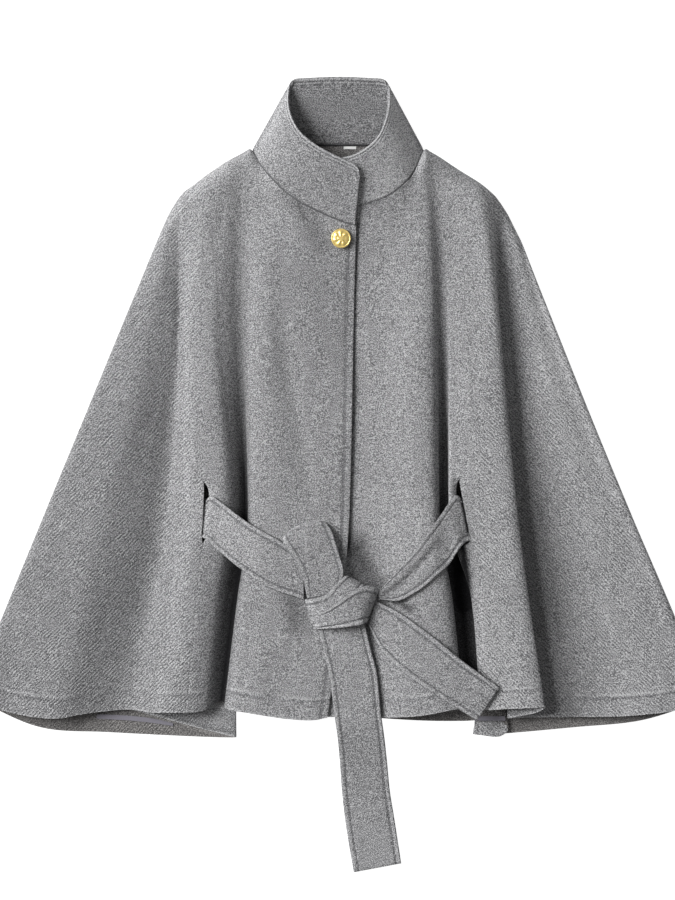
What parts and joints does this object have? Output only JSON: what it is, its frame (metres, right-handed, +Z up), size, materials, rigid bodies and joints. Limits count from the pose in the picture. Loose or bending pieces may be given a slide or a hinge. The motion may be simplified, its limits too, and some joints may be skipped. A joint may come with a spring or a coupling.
{
  "type": "belted wool cape coat laid flat",
  "caption": "Hip-length wool cape coat laid flat on its back, with a stand collar, a lapped buttoned front, wide wings and a tie belt knotted over the front.",
  "frame": {"origin": "on the surface the coat lies on, under the middle of its bounding box", "axes": "+X towards the wearer's left side, +Y towards the collar, +Z up from the surface, out of the front"},
  "size_m": [0.8856, 0.9527, 0.0531],
  "materials": {
    "grey_wool": "flecked grey wool coating, lightly felted",
    "gilt_brass": "polished",
    "tape_satin": "satin tape",
    "label_white": "woven"
  },
  "bodies": {
    "root": {"back_panel": "grey_wool", "front_right": "grey_wool", "front_left": "grey_wool", "collar": "grey_wool", "belt_run_right": "grey_wool", "belt_run_left": "grey_wool", "belt_inner_run": "grey_wool", "belt_bow": "grey_wool", "belt_knot": "grey_wool", "belt_tail_long": "grey_wool", "belt_tail_short": "grey_wool", "button": "gilt_brass", "neck_label": "label_white", "hem_tape_right": "tape_satin", "hem_tape_left": "tape_satin"}
  },
  "joints": []
}
